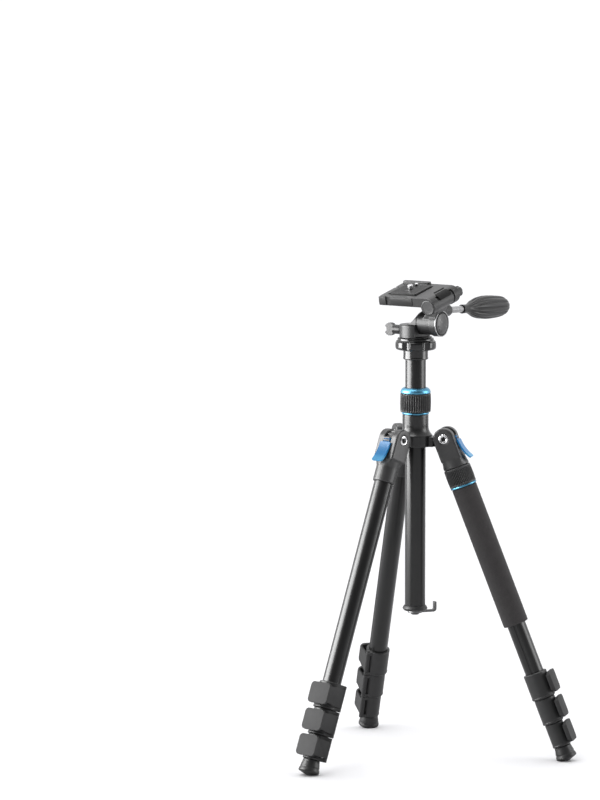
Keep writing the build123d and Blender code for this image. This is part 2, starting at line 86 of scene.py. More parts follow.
# ------------------------------------------------------------------ materials
class Surface:
    """A Principled material whose maps follow the piece, in millimetres."""

    def __init__(self, name, roughness, metallic=0.0, specular=0.5):
        self.material = bpy.data.materials.new(name)
        self.material.use_nodes = True
        self.tree = self.material.node_tree
        self.shader = self.tree.nodes["Principled BSDF"]
        self.shader.inputs["Metallic"].default_value = metallic
        self.shader.inputs["Specular IOR Level"].default_value = specular
        self.shader.inputs["Roughness"].default_value = roughness
        self.coordinates = self.tree.nodes.new("ShaderNodeTexCoord").outputs["Object"]
        self.height = None

    def node(self, kind, **settings):
        """New node of a kind, with its settings made."""
        made = self.tree.nodes.new(kind)
        for key, value in settings.items():
            setattr(made, key, value)
        return made

    def link(self, source, target):
        """Joins an output to an input."""
        self.tree.links.new(source, target)

    def feed(self, socket, value):
        """Gives an input another node's output, or a plain value."""
        if isinstance(value, bpy.types.NodeSocket):
            self.link(value, socket)
        else:
            socket.default_value = value

    def mapped(self, scale):
        """Coordinates in millimetres, stretched by scale."""
        mapping = self.node("ShaderNodeMapping")
        mapping.inputs["Scale"].default_value = [s / MM for s in scale]
        self.link(self.coordinates, mapping.inputs["Vector"])
        return mapping.outputs["Vector"]

    def noise(self, scale, detail=4.0, stretch=(1, 1, 1), distortion=0.0):
        """Noise from 0 to 1; scale is in features a millimetre."""
        made = self.node("ShaderNodeTexNoise")
        made.inputs["Scale"].default_value = scale
        made.inputs["Detail"].default_value = detail
        made.inputs["Distortion"].default_value = distortion
        self.link(self.mapped(stretch), made.inputs["Vector"])
        return made.outputs["Fac"]

    def cells(self, scale):
        """Distance to the nearest cell centre, for foam and pebbled grain."""
        made = self.node("ShaderNodeTexVoronoi")
        made.inputs["Scale"].default_value = scale
        self.link(self.mapped((1, 1, 1)), made.inputs["Vector"])
        return made.outputs["Distance"]

    def span(self, value, low, high, start=0.0, end=1.0):
        """value from start..end onto low..high."""
        made = self.node("ShaderNodeMapRange")
        for key, number in zip(("From Min", "From Max", "To Min", "To Max"), (start, end, low, high)):
            made.inputs[key].default_value = number
        self.link(value, made.inputs["Value"])
        return made.outputs["Result"]

    def mix(self, factor, first, second):
        """Colour between two others."""
        made = self.node("ShaderNodeMix", data_type="RGBA")
        self.feed(made.inputs[0], factor)
        self.feed(made.inputs[6], first)
        self.feed(made.inputs[7], second)
        return made.outputs[2]

    def math(self, operation, first, second):
        """Result of an operation on two values."""
        made = self.node("ShaderNodeMath", operation=operation)
        self.feed(made.inputs[0], first)
        self.feed(made.inputs[1], second)
        return made.outputs[0]

    def edges(self):
        """1 on sharp outer edges, 0 elsewhere, broken up by noise."""
        pointiness = self.node("ShaderNodeNewGeometry").outputs["Pointiness"]
        worn = self.span(pointiness, 0.0, 1.0, 0.52, 0.62)
        return self.math("MULTIPLY", worn, self.span(self.noise(0.5, 6), 0.0, 1.0, 0.35, 0.7))

    def colour(self, value):
        """Sets the base colour."""
        self.feed(self.shader.inputs["Base Color"], value)

    def roughness(self, value):
        """Sets the roughness."""
        self.feed(self.shader.inputs["Roughness"], value)

    def relief(self, height, depth):
        """Adds a bump of that depth in millimetres."""
        bump = self.node("ShaderNodeBump")
        bump.inputs["Strength"].default_value = 1.0
        bump.inputs["Distance"].default_value = depth * MM
        self.link(height, bump.inputs["Height"])
        if self.height is not None:
            self.link(self.height, bump.inputs["Normal"])
        self.height = bump.outputs["Normal"]
        self.link(self.height, self.shader.inputs["Normal"])


def grey(level):
    """Neutral colour with a trace of blue."""
    return (level, level, level * 1.01, 1.0)


def tinted(red, green, blue):
    """Opaque colour."""
    return (red, green, blue, 1.0)


def tube_finish():
    """Black anodised aluminium with faint draw lines along the tube."""
    s = Surface("tube_black", 0.30, specular=0.34)
    lines = s.noise(3.0, 3, stretch=(1, 1, 0.012))
    s.colour(s.mix(s.noise(0.05, 3), grey(0.005), grey(0.011)))
    s.roughness(s.math("ADD", s.span(lines, 0.24, 0.31), s.span(s.noise(0.4, 5), 0.0, 0.05)))
    s.relief(lines, 0.0012)
    return s.material


def moulded(name, low, high, rough, grain_depth, specular, worn=None):
    """Fine-grained plastic or coated casting; worn is the grey level of its handled edges."""
    s = Surface(name, rough, specular=specular)
    body = s.mix(s.noise(0.09, 5), grey(low), grey(high))
    if worn is not None:
        body = s.mix(s.edges(), body, grey(worn))
    s.colour(body)
    s.roughness(s.span(s.noise(0.7, 6), rough - 0.07, rough + 0.09))
    s.relief(s.cells(1.7), grain_depth)
    s.relief(s.noise(0.25, 3), 0.03)
    return s.material


def metal(name, low, high, rough, stretch=(1, 1, 1), tarnish=0.05):
    """Bare or plated metal with fine turning lines."""
    s = Surface(name, rough, metallic=1.0)
    lines = s.noise(4.0, 3, stretch=stretch)
    s.colour(s.mix(s.noise(0.3, 5), low, high))
    turned = s.span(lines, rough - 0.05, rough + 0.05)
    s.roughness(s.math("ADD", turned, s.span(s.noise(0.6, 6), 0.0, tarnish)))
    s.relief(lines, 0.004)
    return s.material


PAINTED_HIGHLIGHT_SPAN = (-22.0, -27.0)         # where the angle lever's tab is painted paler, along the leg: a painted highlight on its lower end


def blue_plastic():
    """Dyed plastic of the angle levers, with a painted highlight that makes it paler at the lower end."""
    s = Surface("lever_blue", 0.33, specular=0.16)
    body = s.mix(s.noise(0.12, 4), tinted(0.015, 0.170, 0.410), tinted(0.023, 0.210, 0.480))
    split = s.node("ShaderNodeSeparateXYZ")
    s.link(s.coordinates, split.inputs["Vector"])
    start, end = PAINTED_HIGHLIGHT_SPAN
    # painted highlight: the tab turns paler towards its lower end, as if lit there
    painted_highlight = s.span(split.outputs["Z"], 0.0, 0.55, start * MM, end * MM)
    s.colour(s.mix(painted_highlight, body, tinted(0.10, 0.42, 0.68)))
    s.roughness(s.span(s.noise(0.8, 6), 0.26, 0.42))
    s.relief(s.cells(1.4), 0.012)
    return s.material


def rubber(name, low, high, rough):
    """Matt rubber with dust in its grain."""
    s = Surface(name, rough, specular=0.24)
    dust = s.span(s.noise(0.6, 7, distortion=0.4), 0.0, 0.5, 0.5, 0.8)
    s.colour(s.mix(dust, grey(low), grey(high)))
    s.roughness(s.span(s.noise(1.2, 5), rough - 0.08, rough + 0.08))
    s.relief(s.noise(2.6, 6), 0.035)
    return s.material


def foam():
    """Closed-cell foam: fine open pores in the skin and a soft sheen."""
    s = Surface("grip_foam", 0.85, specular=0.16)
    s.shader.inputs["Sheen Weight"].default_value = 0.10
    s.shader.inputs["Sheen Roughness"].default_value = 0.5
    pores = s.span(s.cells(1.25), 1.0, 0.0, 0.05, 0.42)
    body = s.mix(s.noise(0.12, 4), tinted(0.032, 0.0295, 0.0300), tinted(0.047, 0.0435, 0.0440))
    s.colour(s.mix(s.math("MULTIPLY", pores, 0.55), body, grey(0.010)))
    s.roughness(s.span(s.noise(0.9, 5), 0.78, 0.95))
    s.relief(s.cells(1.25), 0.10)
    s.relief(s.noise(0.5, 4), 0.10)
    return s.material


MATERIALS = {
    "tube_black": tube_finish(),
    "cast_black": moulded("cast_black", 0.022, 0.034, 0.40, 0.014, specular=0.36, worn=0.09),
    "clamp_plastic": moulded("clamp_plastic", 0.019, 0.029, 0.42, 0.016, specular=0.26),
    "lever_plastic": moulded("lever_plastic", 0.030, 0.042, 0.62, 0.022, specular=0.13),
    "ring_blue": metal(
        "ring_blue", tinted(0.060, 0.195, 0.300), tinted(0.085, 0.250, 0.370), 0.34, (1, 1, 30)
    ),
    "lever_blue": blue_plastic(),
    "pin_chrome": metal("pin_chrome", grey(0.46), grey(0.62), 0.10, tarnish=0.06),
    "hook_steel": metal("hook_steel", grey(0.09), grey(0.16), 0.40, (1, 30, 1)),
    "foot_rubber": rubber("foot_rubber", 0.020, 0.046, 0.40),
    "grip_foam": foam(),
    "handle_rubber": rubber("handle_rubber", 0.015, 0.031, 0.38),
    "collar_rubber": rubber("collar_rubber", 0.030, 0.058, 0.36),
    "plate_gloss": moulded("plate_gloss", 0.005, 0.010, 0.20, 0.004, specular=0.42, worn=0.05),
    "hub_gloss": moulded("hub_gloss", 0.009, 0.016, 0.28, 0.006, specular=0.32, worn=0.07),
    "head_casting": moulded("head_casting", 0.015, 0.025, 0.38, 0.016, specular=0.32, worn=0.10),
    "head_cap": moulded("head_cap", 0.028, 0.044, 0.34, 0.010, specular=0.40, worn=0.22),
    "platform_plastic": moulded("platform_plastic", 0.009, 0.015, 0.36, 0.014, specular=0.28, worn=0.12),
    "plate_plastic": moulded("plate_plastic", 0.006, 0.012, 0.46, 0.024, specular=0.22, worn=0.06),
    "panel_black": moulded("panel_black", 0.007, 0.013, 0.34, 0.010, specular=0.30),
    "pawl_steel": metal("pawl_steel", grey(0.035), grey(0.060), 0.42, (1, 30, 1)),
    # painted shade: near-black material for pieces that stand in for the shade in recesses
    "painted_recess_shade": moulded("painted_recess_shade", 0.002, 0.004, 0.60, 0.010, specular=0.10),
    "rod_steel": metal("rod_steel", grey(0.20), grey(0.32), 0.26, (1, 0.05, 1)),
    "screw_steel": metal("screw_steel", grey(0.36), grey(0.50), 0.24, (1, 1, 30)),
}


# ------------------------------------------------------------------ mesh makers
def mesh_of(name, vertices, faces):
    """Mesh from millimetre points, with its faces turned outward."""
    mesh = bpy.data.meshes.new(name)
    mesh.from_pydata([Vector(v) * MM for v in vertices], [], faces)
    work = bmesh.new()
    work.from_mesh(mesh)
    bmesh.ops.recalc_face_normals(work, faces=work.faces)
    work.to_mesh(mesh)
    work.free()
    return mesh


def rounded(points, radius, steps=5, closed=True):
    """Outline with every corner rounded, where its sides are long enough."""
    count = len(points)
    result = []
    for i, point in enumerate(points):
        here = Vector(point)
        if not closed and i in (0, count - 1):
            result.append(here)
            continue
        before, after = Vector(points[i - 1]) - here, Vector(points[(i + 1) % count]) - here
        reach = min(before.length, after.length) * 0.45
        angle = before.angle(after)
        cut = min(radius / max(tan(angle / 2), 1e-3), reach)
        start, end = here + before.normalized() * cut, here + after.normalized() * cut
        for step in range(steps + 1):
            t = step / steps
            result.append(start * (1 - t) ** 2 + here * 2 * t * (1 - t) + end * t * t)
    return result


def lathe(name, profile, segments=96, shape=None):
    """Solid of revolution about Z from (radius, height) points. shape(angle, radius,
    height) may move a point's radius. A profile that doesn't touch the axis closes on itself."""
    vertices, faces, rings = [], [], []
    for radius, height in profile:
        if radius < ON_AXIS:
            rings.append([len(vertices)])
            vertices.append((0, 0, height))
            continue
        ring = []
        for i in range(segments):
            angle = 2 * pi * i / segments
            r = shape(angle, radius, height) if shape else radius
            ring.append(len(vertices))
            vertices.append((r * cos(angle), r * sin(angle), height))
        rings.append(ring)
    on_axis = len(rings[0]) == 1 and len(rings[-1]) == 1
    pairs = list(zip(rings, rings[1:])) + ([] if on_axis else [(rings[-1], rings[0])])
    for low, high in pairs:
        for i in range(segments):
            j = (i + 1) % segments
            corners = [low[i % len(low)], low[j % len(low)], high[j % len(high)], high[i % len(high)]]
            faces.append(list(dict.fromkeys(corners)))
    return mesh_of(name, vertices, faces)


def along(outline, spacing):
    """Closed outline with extra points, about spacing apart, so that long sides carry detail."""
    result = []
    for i, point in enumerate(outline):
        here, after = Vector(point), Vector(outline[(i + 1) % len(outline)])
        result.append(here)
        parts = int((after - here).length / spacing)
        for part in range(1, parts):
            result.append(here.lerp(after, part / parts))
    return result


def ribbed(count, depth, floor, low, high, fade=1.2, sharpness=1.6):
    """A lathe shape: count ribs between two heights, on what lies beyond the radius floor."""
    def shape(angle, radius, height):
        if radius < floor:
            return radius
        amount = max(0.0, min(1.0, min(height - low, high - height) / fade))
        valley = (0.5 + 0.5 * cos(count * angle)) ** sharpness
        return radius - depth * amount * valley
    return shape


def curve_through(points, steps=8):
    """Smooth open line through the points."""
    knots = [Vector(point) for point in points]
    result = []
    for i in range(len(knots) - 1):
        before, here, after = knots[max(i - 1, 0)], knots[i], knots[i + 1]
        beyond = knots[min(i + 2, len(knots) - 1)]
        for step in range(steps):
            t = step / steps
            bend = 2 * before - 5 * here + 4 * after - beyond
            twist = 3 * here - before - 3 * after + beyond
            result.append(0.5 * (2 * here + (after - before) * t + bend * t * t + twist * t ** 3))
    return result + [knots[-1]]


def upon(point, direction):
    """Matrix that stands a lathe's Z along direction at a point, in millimetres."""
    turn = Vector(direction).to_track_quat("Z", "Y").to_matrix().to_4x4()
    return Matrix.Translation(Vector(point) * MM) @ turn


def moved(mesh, matrix):
    """The mesh, transformed."""
    mesh.transform(matrix)
    return mesh


def joined(name, parts):
    """One mesh from several, which are used up."""
    work = bmesh.new()
    for part in parts:
        work.from_mesh(part)
        bpy.data.meshes.remove(part)
    mesh = bpy.data.meshes.new(name)
    work.to_mesh(mesh)
    work.free()
    return mesh


def slab(name, low, high, corner, roll):
    """Block whose outline in X and Y has rounded corners and whose edges are rolled."""
    corners = [(low[0], low[1]), (high[0], low[1]), (high[0], high[1]), (low[0], high[1])]
    outline = rounded(corners, corner)
    count = len(outline)
    vertices = [(x, y, z) for z in (low[2], high[2]) for x, y in outline]
    sides = [(i, (i + 1) % count, (i + 1) % count + count, i + count) for i in range(count)]
    faces = [list(range(count)), list(range(count, 2 * count)), *sides]
    settings = {
        "width": roll * MM, "segments": 3, "limit_method": "ANGLE", "angle_limit": radians(50),
    }
    return evaluated(mesh_of(name, vertices, faces), ("BEVEL", settings))


def evaluated(mesh, *modifiers):
    """The mesh after a stack of (type, settings) modifiers."""
    worker = bpy.data.objects.new("worker", mesh)
    bpy.context.scene.collection.objects.link(worker)
    for kind, settings in modifiers:
        modifier = worker.modifiers.new(kind, kind)
        for key, value in settings.items():
            setattr(modifier, key, value)
    graph = bpy.context.evaluated_depsgraph_get()
    result = bpy.data.meshes.new_from_object(worker.evaluated_get(graph), depsgraph=graph)
    bpy.data.objects.remove(worker)
    return result


def cad_copy(node, place):
    """The CAD node's mesh in a local frame, welded, with flat faces merged."""
    source = frame["nodes"][node].data
    work = bmesh.new()
    work.from_mesh(source)
    work.transform(place.inverted())
    bmesh.ops.remove_doubles(work, verts=work.verts, dist=0.002 * MM)
    bmesh.ops.dissolve_limit(
        work, angle_limit=radians(1.0), verts=work.verts, edges=work.edges, use_dissolve_boundaries=False
    )
    mesh = bpy.data.meshes.new(node)
    work.to_mesh(mesh)
    work.free()
    return mesh


def soft_cast(node, place, voxel, smoothing=6):
    """CAD shape remeshed finely and smoothed, so its corners are cast and not cut."""
    return evaluated(
        cad_copy(node, place),
        ("TRIANGULATE", {}),
        ("REMESH", {"mode": "VOXEL", "voxel_size": voxel * MM, "use_smooth_shade": True}),
        ("SMOOTH", {"factor": 0.5, "iterations": smoothing}),
    )


def eased(node, place, width):
    """CAD shape with its sharp edges rolled over."""
    return evaluated(
        cad_copy(node, place),
        ("BEVEL", {
            "width": width * MM, "segments": 3, "limit_method": "ANGLE", "angle_limit": radians(32),
        }),
        ("WEIGHTED_NORMAL", {"keep_sharp": True, "weight": 60}),
    )


def put(name, mesh, place, body, slot, replaced=(), smooth_angle=40, look=None):
    """Stands a finished mesh in the scene; look is a material other than the slot's own."""
    piece = bpy.data.objects.new(name, mesh)
    bpy.context.scene.collection.objects.link(piece)
    piece.matrix_world = place
    mesh.materials.clear()
    mesh.materials.append(MATERIALS[look or slot])
    mesh.polygons.foreach_set("use_smooth", [True] * len(mesh.polygons))
    mesh.set_sharp_from_angle(angle=radians(smooth_angle))
    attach(piece, body)
    if replaced:
        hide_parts(*replaced)
    return piece


def restyle(node, place, slot, maker, look=None, **options):
    """Replaces a CAD node by a refined copy that rides on the same body."""
    mesh = maker(node, place, **options)
    return put(f"{node}_finished", mesh, place, body_of_node[node], slot, [node], look=look)


# ------------------------------------------------------------------ legs
# Distances along a leg are measured from the pivot pin towards the foot.
TUBE_RADII = (11.0, 9.5, 8.0, 6.5)
TUBE_WALL = 1.2
TUBE_TOPS = (24.0, 40.0, 50.0, 60.0)
TUBE_BOTTOMS = (305.0, 336.5, 367.5, 390.6)
CLAMP_RADII = (13.9, 12.4, 10.9)
CLAMP_BOTTOMS = (324.2, 355.2, 384.3)
GROOVE_HALF = radians(9.5)            # half the anti-twist groove's angle on the widest tube
GROOVE_DEPTH = 0.7
PIN_REACH = 13.5                      # from a pin's middle to the seat of its head
GRIP_SPAN = (60.3, 232.0)
COUPLER_SPAN = (36.3, 58.0)
TRIM_END = 60.0
SLEEVE_BORE = 11.1                    # foam, coupler and trim ring, on the right leg's tube


def grooved(angle, radius, height):
    """Sinks the two anti-twist grooves into a tube's outside."""
    off_side = abs(abs(atan2(sin(angle), cos(angle))) - pi / 2)
    flank = GROOVE_HALF * TUBE_RADII[0] / radius
    return radius - GROOVE_DEPTH * max(0.0, min(1.0, (flank - off_side) / (0.35 * flank)))


def tube_mesh(name, radius, low, high):
    """Drawn tube with eased rims."""
    bore = radius - TUBE_WALL
    outline = [(radius, low), (radius, high), (bore, high), (bore, low)]

    def outside(angle, r, height):
        return grooved(angle, r, height) if r > radius - TUBE_WALL / 3 else r
    return lathe(name, rounded(outline, 0.25, steps=3), 144, outside)


def foot_mesh():
    """Rubber foot: a lip under the tube, a flared wall with two rings and a coned sole."""
    profile = [
        (0, -403), (1.6, -402.9), (6.5, -401.2), (11.4, -399.3), (12.3, -398.4), (12.25, -397.3),
        (11.6, -394.6), (11.2, -394.4), (11.1, -392.8), (11.3, -392.6), (10.1, -387.0), (10.0, -385.4),
        (9.3, -384.7), (6.7, -384.7), (6.7, -390.4), (0, -390.6),
    ]
    return lathe("foot", rounded(profile, 0.5, closed=False), 96)


def ferrule_mesh(index):
    """Smooth lip round a clamp's lower rim."""
    radius, low = CLAMP_RADII[index], -CLAMP_BOTTOMS[index] + 0.5
    outline = [
        (radius - 1.5, low), (radius + 0.1, low), (radius + 0.35, low + 1.2),
        (radius + 0.1, low + 2.4), (radius - 1.5, low + 2.4),
    ]
    return lathe("ferrule", rounded(outline, 0.5), 96)


def hexed(angle, radius, height):
    """Turns the middle of a pin's head into a hexagon socket."""
    if radius > 3.5 or abs(height) < PIN_REACH + 0.1:
        return radius
    sector = (angle % (pi / 3)) - pi / 6
    return radius * cos(pi / 6) / cos(sector) * 1.08


def pin_mesh():
    """Pivot pin with a domed head and a hexagon socket at each end."""
    head = [
        (3.0, 0.0), (5.7, 0.0), (5.85, 0.5), (5.65, 1.15), (5.1, 1.7), (4.4, 1.95), (3.8, 1.85),
        (3.3, 1.5), (3.2, 0.3), (0, 0.2),
    ]
    upper = [(radius, PIN_REACH + height) for radius, height in head]
    lower = [(radius, -height) for radius, height in reversed(upper)]
    return lathe("pin", lower + upper, 96, hexed)


def pawl_mesh():
    """Two steel bars across the shoulder's slot, above the release tab."""
    bar = [(0, -4.7), (0.9, -4.7), (1.25, -4.3), (1.25, 4.3), (0.9, 4.7), (0, 4.7)]
    spots = [(12.9, 0, -1.1), (13.0, 0, -4.0)]
    return joined("pawl", [moved(lathe("bar", bar, 32), upon(spot, (0, 1, 0))) for spot in spots])


def foam_mesh():
    """Foam sleeve with rolled ends and a faintly uneven skin."""
    top, bottom = GRIP_SPAN
    outline = rounded([(SLEEVE_BORE, -bottom), (14.9, -bottom), (14.9, -top), (SLEEVE_BORE, -top)], 1.8)

    def skin(angle, radius, height):
        spot = Vector((radius * cos(angle), radius * sin(angle), height))
        return radius + 0.10 * noise.noise(spot * 0.35) + 0.07 * noise.noise(spot * 1.1)
    return lathe("foam", along(outline, 0.8), 144, skin)


def coupler_mesh():
    """Knurled ring that unscrews the monopod leg."""
    top, bottom = COUPLER_SPAN
    crown = (16.2, -(top + bottom) / 2)
    outline = rounded(
        [(SLEEVE_BORE, -bottom), (15.9, -bottom), crown, (15.9, -top), (SLEEVE_BORE, -top)], 1.2
    )
    return lathe("coupler", along(outline, 0.9), 480, ribbed(48, 1.0, 15.0, -bottom + 1.6, -top - 1.6))


def trim_mesh():
    """Anodised ring under the coupler."""
    top = COUPLER_SPAN[1]
    middle = (top + TRIM_END) / 2
    outline = [
        (SLEEVE_BORE, -TRIM_END), (15.7, -TRIM_END), (15.9, -middle), (15.7, -top), (SLEEVE_BORE, -top),
    ]
    return lathe("trim", rounded(outline, 0.5), 128)


tube_meshes = [
    tube_mesh(f"section_{index}", radius, -bottom, -top)
    for index, (radius, top, bottom) in enumerate(zip(TUBE_RADII, TUBE_TOPS, TUBE_BOTTOMS))
]
foot = foot_mesh()
ferrules = [ferrule_mesh(index) for index in range(len(SECTIONS))]
pawl = pawl_mesh()

for side in SIDES:
    place = LEG[side]
    for index, section in enumerate((*SECTIONS, "foot")):
        node = f"{side}_{section}_tube"
        put(f"{node}_finished", tube_meshes[index], place, body_of_node[node], "tube_black", [node])
    restyle(f"{side}_leg_shoulder", place, "cast_black", soft_cast, voxel=0.5, smoothing=14)
    restyle(f"{side}_angle_lever", place, "lever_blue", eased, width=0.4)
    put(f"{side}_pawl_bars", pawl, place, f"{side}_angle_release", "hook_steel", look="pawl_steel")
    for index, section in enumerate(SECTIONS):
        clamp = f"{side}_{section}_clamp"
        restyle(clamp, place, "clamp_plastic", eased, width=0.35)
        put(f"{clamp}_lip", ferrules[index], place, body_of_node[clamp], "clamp_plastic")
        restyle(f"{clamp}_lever", place, "lever_plastic", eased, width=0.7)
    put(f"{side}_foot_finished", foot, place, body_of_node[f"{side}_foot"], "foot_rubber", [f"{side}_foot"])

sleeve = put("foam_sleeve", foam_mesh(), LEG["right"], "right_leg", "grip_foam", ["foam_grip"])
put("coupler_ring", coupler_mesh(), LEG["right"], "monopod_coupling", "collar_rubber", ["monopod_coupler"])
put("coupler_trim", trim_mesh(), LEG["right"], "monopod_coupling", "ring_blue")


# ------------------------------------------------------------------ hub and column
COLUMN_SPAN = (177, 484)
COLUMN_RADIUS = 12.0
COLLAR_SPAN = (405, 427)


def pins_mesh():
    """The three pivot pins."""
    return joined("pins", [moved(pin_mesh(), LEG[side] @ upon((0, 0, 0), (0, 1, 0))) for side in SIDES])


def socket_shade_mesh():
    """Dark discs at the bottom of the pins' six sockets: painted shade for the deep inside of each socket."""
    parts = []
    for side in SIDES:
        for end in (-1, 1):
            floor = lathe("floor", [(0, 0), (3.0, 0), (3.0, 0.3), (1.5, 0.15), (0, 0.1)], 6)
            at = upon((0, end * (PIN_REACH + 0.2), 0), (0, end, 0))
            parts.append(moved(floor, LEG[side] @ at))
    return joined("sockets", parts)


def collar_mesh():
    """Twist collar with deep ribs."""
    low, high = COLLAR_SPAN
    crown = (18.1, (low + high) / 2)
    outline = rounded(
        [(14.7, low), (17.7, low), crown, (17.7, high), (12.4, high), (12.4, 418.4), (14.7, 418.4)], 1.5
    )
    return lathe("collar", along(outline, 1.0), 480, ribbed(40, 1.5, 17.0, low + 1.0, high - 1.0, 1.5, 1.5))


def upper_ring_mesh():
    """Bevelled ring over the collar."""
    outline = [
        (12.4, 427.1), (17.6, 427.1), (17.7, 428.6), (17.1, 430.7), (15.9, 432.4), (14.2, 433.5),
        (12.4, 433.5),
    ]
    return lathe("upper_ring", rounded(outline, 0.9), 160)


def column_mesh():
    """Centre column, a plain drawn tube."""
    low, high = COLUMN_SPAN
    bore = COLUMN_RADIUS - 1.5
    outline = [(COLUMN_RADIUS, low), (COLUMN_RADIUS, high), (bore, high), (bore, low)]
    return lathe("column", rounded(outline, 0.3, steps=3), 144)


def lower_ring_mesh():
    """Thin ring under the collar."""
    outline = [(15.0, 402.6), (15.6, 402.6), (16.1, 403.7), (15.6, 404.8), (15.0, 404.8)]
    return lathe("lower_ring", rounded(outline, 0.6), 160)


restyle("hub", UPRIGHT, "cast_black", soft_cast, voxel=0.5, look="hub_gloss")
put("pivot_pins", pins_mesh(), UPRIGHT, "spider", "pin_chrome", ["leg_pivot_pins"], smooth_angle=25)
# painted shade: dark discs deep in the pin sockets
put("pivot_pin_socket_shade", socket_shade_mesh(), UPRIGHT, "spider", "cast_black", look="painted_recess_shade")
put("lock_collar_grip", collar_mesh(), UPRIGHT, "lock_collar", "collar_rubber", ["column_lock_collar"])
put(
    "lock_ring_upper", upper_ring_mesh(), UPRIGHT, "lock_collar", "ring_blue", ["column_lock_rings"],
    smooth_angle=60,
)
put("lock_ring_lower", lower_ring_mesh(), UPRIGHT, "lock_collar", "ring_blue", smooth_angle=60)
put("column_tube_finished", column_mesh(), UPRIGHT, "column", "tube_black", ["column_tube"])
restyle("column_end_cap", UPRIGHT, "clamp_plastic", eased, width=0.5)
restyle("weight_hook", UPRIGHT, "hook_steel", eased, width=0.8)
restyle("head_plate", UPRIGHT, "cast_black", soft_cast, voxel=0.45, look="plate_gloss")


# ------------------------------------------------------------------ head
HANDLE_POINT = (29.0, 0.0, 33.0)      # where the rod leaves the tilt housing
HANDLE_DROOP = radians(14.4)
GRIP_START = 57.0                     # along the rod
RING_END = 36.0                       # u of the tilt clamp's end face
SIDE_AXIS = (37.5, 45.9)              # u and w of the side tilt
DOME_AXIS_U = 36.5
DOME_RADIUS = 11.1
EAR_HALF = 28.0                       # v of the platform's front and back
RELEASE_CENTRE = (-1.2, -1.0)
RELEASE_TOP = 58.6
PLATE_SHARE = 0.95                    # of the CAD plate's size, so that its pocket shows
MARK_REACH = 9.0
MARK_TURNS = (184, 210, 238)
PAD_HALF = 15.4
PAD_PITCH = 2.4
FRONT_BLOCK = ((-28.2, 46.0, -1.0), (-18.5, 56.6, 1.5))
FRONT_PANEL = ((-13.5, 46.6, -0.5), (17.0, 55.8, 0.6))
HANDLE_WAY = Vector((0, cos(HANDLE_DROOP), -sin(HANDLE_DROOP)))


def grip_mesh():
    """Fluted pear-shaped grip with a plain cuff round the rod."""
    bore = [(0, 30), (4.1, 30), (4.1, 2.2), (4.6, 0.4), (5.0, 0.0), (5.3, 0.5)]
    pear = curve_through([
        (5.35, 1.5), (5.2, 9), (5.9, 15), (8.6, 22), (11.6, 31), (13.5, 44), (13.9, 58), (13.2, 74),
        (11.6, 87), (8.0, 95.2), (4.2, 98.3), (0, 99.0),
    ])
    flutes = ribbed(12, 1.5, 6.2, 14.5, 97.0, 14.0, 2.6)
    mesh = lathe("grip", bore + pear, 288, flutes)
    return moved(mesh, upon(Vector(HANDLE_POINT) + HANDLE_WAY * GRIP_START, HANDLE_WAY))


def about_tilt_axis(mesh):
    """Stands a lathe on the tilt clamp's end face."""
    return moved(mesh, upon((RING_END, 0, TILT_AXIS_W), (1, 0, 0)))


def cap_mesh():
    """Domed scale cap."""
    profile = [
        (0, -1.1), (12.6, -1.1), (12.7, -0.3), (12.2, 0.5), (10.4, 1.2), (7.0, 1.8), (3.5, 2.1), (0, 2.2),
    ]
    return about_tilt_axis(lathe("cap", rounded(profile, 0.8, closed=False), 128))


def cap_rim_highlight_mesh():
    """Bright steel lip round the scale cap, a painted highlight on the edge of the tilt clamp's end."""
    outline = [(14.1, -0.8), (15.15, -0.8), (15.0, 0.35), (14.1, 0.35)]
    return about_tilt_axis(lathe("rim", rounded(outline, 0.35), 128))


def cap_marks_mesh():
    """Three small dark discs set into the scale cap."""
    parts = []
    for turn in MARK_TURNS:
        v, w = MARK_REACH * cos(radians(turn)), MARK_REACH * sin(radians(turn))
        dot = lathe("dot", [(0, -0.4), (0.95, -0.4), (0.95, 0.05), (0.7, 0.12), (0, 0.02)], 24)
        parts.append(moved(dot, upon((RING_END + 1.72, v, TILT_AXIS_W + w), (1, 0.12, 0))))
    return joined("marks", parts)


def ear_disc_mesh():
    """Flat cover on the front ear of the side tilt."""
    profile = [(0, -0.5), (8.4, -0.5), (8.6, 0.1), (8.2, 0.6), (7.4, 0.7), (7.1, 0.45), (0, 0.5)]
    mesh = lathe("ear_disc", rounded(profile, 0.3, closed=False), 96)
    return moved(mesh, upon((SIDE_AXIS[0], -EAR_HALF, SIDE_AXIS[1]), (0, -1, 0)))


def on_front(mesh):
    """Stands a slab's X and Y along u and w on the platform's front face."""
    turn = Matrix(((1, 0, 0), (0, 0, -1), (0, 1, 0))).to_4x4()
    return moved(mesh, Matrix.Translation((0, -EAR_HALF * MM, 0)) @ turn)


def dome_shade_patch(name, span, turns, lift):
    """Dark sheet on the shell over the side tilt, between two v values and two angles: painted shade for a recess.
    """
    vertices, faces = [], []
    columns, rows = 30, 16
    reach = DOME_RADIUS + lift
    for i in range(columns + 1):
        v = span[0] + (span[1] - span[0]) * i / columns
        narrow = 0.16 * max(0.0, 1.0 - min(i, columns - i) / 2)
        for j in range(rows + 1):
            share = narrow + (1 - 2 * narrow) * j / rows
            angle = radians(turns[0] + (turns[1] - turns[0]) * share)
            vertices.append((DOME_AXIS_U + reach * cos(angle), v, SIDE_AXIS[1] + reach * sin(angle)))
    for i in range(columns):
        for j in range(rows):
            k = i * (rows + 1) + j
            faces.append((k, k + 1, k + rows + 2, k + rows + 1))
    return evaluated(mesh_of(name, vertices, faces), ("SOLIDIFY", {"thickness": 0.4 * MM, "offset": 0}))


